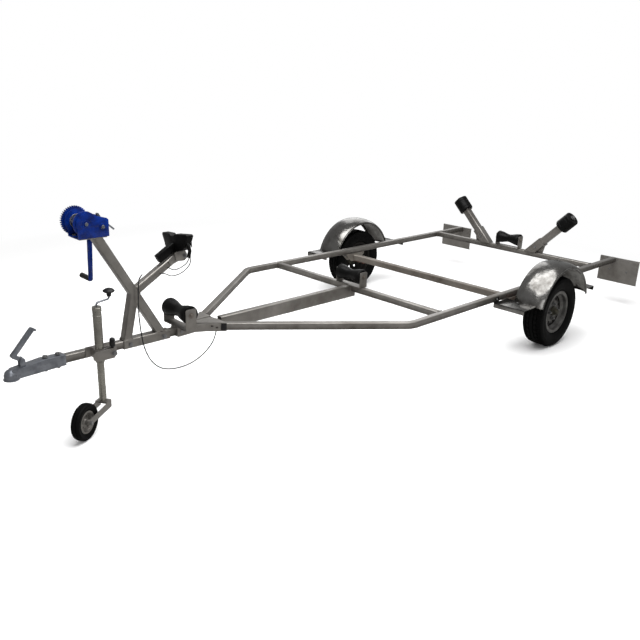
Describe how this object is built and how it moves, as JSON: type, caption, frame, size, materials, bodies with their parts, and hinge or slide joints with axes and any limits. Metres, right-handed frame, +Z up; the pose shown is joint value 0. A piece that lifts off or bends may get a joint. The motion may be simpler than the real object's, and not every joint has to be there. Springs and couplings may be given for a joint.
{
  "type": "boat trailer",
  "caption": "Single-axle galvanised boat trailer with A-frame drawbar, keel and side rollers, hand winch, bow stop, mudguards, lamp plates and a jockey wheel.",
  "frame": {"origin": "centre of the trailer's bounding box in plan, on the ground plane", "axes": "+X towards the coupling, +Y to the trailer's left, +Z up"},
  "size_m": [4.644, 2.033, 1.0718],
  "materials": {
    "galvanised_steel": "weathered hot-dip zinc",
    "bright_zinc": "bright zinc sheet",
    "zinc_plate": "blue-grey zinc plate",
    "wheel_silver": "silver paint",
    "dark_cast_iron": "rough, part rusted",
    "winch_blue": "gloss blue paint",
    "black_rubber": "matt",
    "tyre_rubber": "matt",
    "black_plastic": "moulded",
    "red_lens": "red lens",
    "cable_sheath": "smooth sheath"
  },
  "bodies": {
    "frame": {"rail_left": "galvanised_steel", "rail_right": "galvanised_steel", "front_cross_member": "galvanised_steel", "rear_cross_member": "galvanised_steel", "center_beam": "galvanised_steel", "frame_bracket": "galvanised_steel", "drawbar": "galvanised_steel", "axle_beam": "galvanised_steel", "swing_arm_left": "dark_cast_iron", "swing_arm_right": "dark_cast_iron", "mudguard_left": "bright_zinc", "mudguard_right": "bright_zinc", "lamp_plate_left": "galvanised_steel", "lamp_plate_right": "galvanised_steel", "tail_lamp_left": "red_lens", "tail_lamp_right": "red_lens", "keel_bracket_front": "galvanised_steel", "keel_bracket_middle": "galvanised_steel", "keel_bracket_rear": "galvanised_steel", "side_arm_left": "galvanised_steel", "side_arm_right": "galvanised_steel", "coupling_body": "zinc_plate", "winch_post": "galvanised_steel", "bow_stop_bracket": "galvanised_steel", "bow_stop_block": "black_rubber", "winch_frame": "winch_blue", "winch_pawl": "zinc_plate", "jockey_clamp": "galvanised_steel", "clamp_handle": "black_plastic", "jockey_tube": "galvanised_steel", "jockey_crank": "zinc_plate", "jockey_knob": "black_plastic", "lighting_cable": "cable_sheath", "strand_outer": "cable_sheath", "strand_inner": "cable_sheath", "cable_boot": "black_plastic"},
    "wheel_left": {"hub_left": "dark_cast_iron", "rim_left": "wheel_silver", "tyre_left": "tyre_rubber"},
    "wheel_right": {"hub_right": "dark_cast_iron", "rim_right": "wheel_silver", "tyre_right": "tyre_rubber"},
    "keel_roll_front": {"keel_roller_front": "black_rubber"},
    "keel_roll_middle": {"keel_roller_middle": "black_rubber"},
    "keel_roll_rear": {"keel_roller_rear": "black_rubber"},
    "side_roll_left": {"side_roller_left": "black_rubber"},
    "side_roll_right": {"side_roller_right": "black_rubber"},
    "winch_reel": {"winch_drum": "winch_blue"},
    "winch_handle": {"winch_crank": "winch_blue", "crank_grip": "black_plastic"},
    "coupling_lever": {"coupling_handle": "zinc_plate"},
    "jockey_stem": {"jockey_leg": "galvanised_steel"},
    "jockey_castor": {"jockey_fork": "galvanised_steel"},
    "jockey_wheel": {"jockey_rim": "galvanised_steel", "jockey_tyre": "tyre_rubber"}
  },
  "joints": [
    {"name": "wheel_spin_left", "type": "hinge", "parent": "frame", "child": "wheel_left", "pos_m": [-0.948, 0.9155, 0.24147], "axis": [0, 1, 0], "continuous": true},
    {"name": "wheel_spin_right", "type": "hinge", "parent": "frame", "child": "wheel_right", "pos_m": [-0.948, -0.9155, 0.24147], "axis": [0, 1, 0], "continuous": true},
    {"name": "keel_roller_spin_front", "type": "hinge", "parent": "frame", "child": "keel_roll_front", "pos_m": [1.386, 0, 0.472], "axis": [0, 1, 0], "continuous": true},
    {"name": "keel_roller_spin_middle", "type": "hinge", "parent": "frame", "child": "keel_roll_middle", "pos_m": [0.053, 0, 0.458], "axis": [0, 1, 0], "continuous": true},
    {"name": "keel_roller_spin_rear", "type": "hinge", "parent": "frame", "child": "keel_roll_rear", "pos_m": [-1.883, 0, 0.457], "axis": [0, 1, 0], "continuous": true},
    {"name": "side_roller_spin_left", "type": "hinge", "parent": "frame", "child": "side_roll_left", "pos_m": [-1.883, 0.49, 0.668], "axis": [0, 0.6994, 0.7147], "continuous": true},
    {"name": "side_roller_spin_right", "type": "hinge", "parent": "frame", "child": "side_roll_right", "pos_m": [-1.883, -0.49, 0.668], "axis": [0, -0.6994, 0.7147], "continuous": true},
    {"name": "winch_drum_spin", "type": "hinge", "parent": "frame", "child": "winch_reel", "pos_m": [1.901, 0, 1.003], "axis": [0, 1, 0], "continuous": true},
    {"name": "winch_crank_turn", "type": "hinge", "parent": "frame", "child": "winch_handle", "pos_m": [1.821, 0, 0.983], "axis": [0, 1, 0], "continuous": true},
    {"name": "coupling_lever_lift", "type": "hinge", "parent": "frame", "child": "coupling_lever", "pos_m": [2.234, 0, 0.408], "axis": [0, 1, 0], "range_deg": [-45, 20]},
    {"name": "jockey_leg_slide", "type": "slide", "parent": "frame", "child": "jockey_stem", "axis": [0, 0, 1], "range_m": [-0.06, 0.12]},
    {"name": "jockey_castor_swivel", "type": "hinge", "parent": "jockey_stem", "child": "jockey_castor", "pos_m": [1.892, 0.078, 0.127], "axis": [0, 0, 1], "continuous": true},
    {"name": "jockey_wheel_spin", "type": "hinge", "parent": "jockey_castor", "child": "jockey_wheel", "pos_m": [2.03343, 0.16298, 0.09072], "axis": [-0.515, 0.8572, 0], "continuous": true}
  ],
  "couplings": [
    {"joint": "winch_crank_turn", "follows": "winch_drum_spin", "ratio": -4}
  ]
}
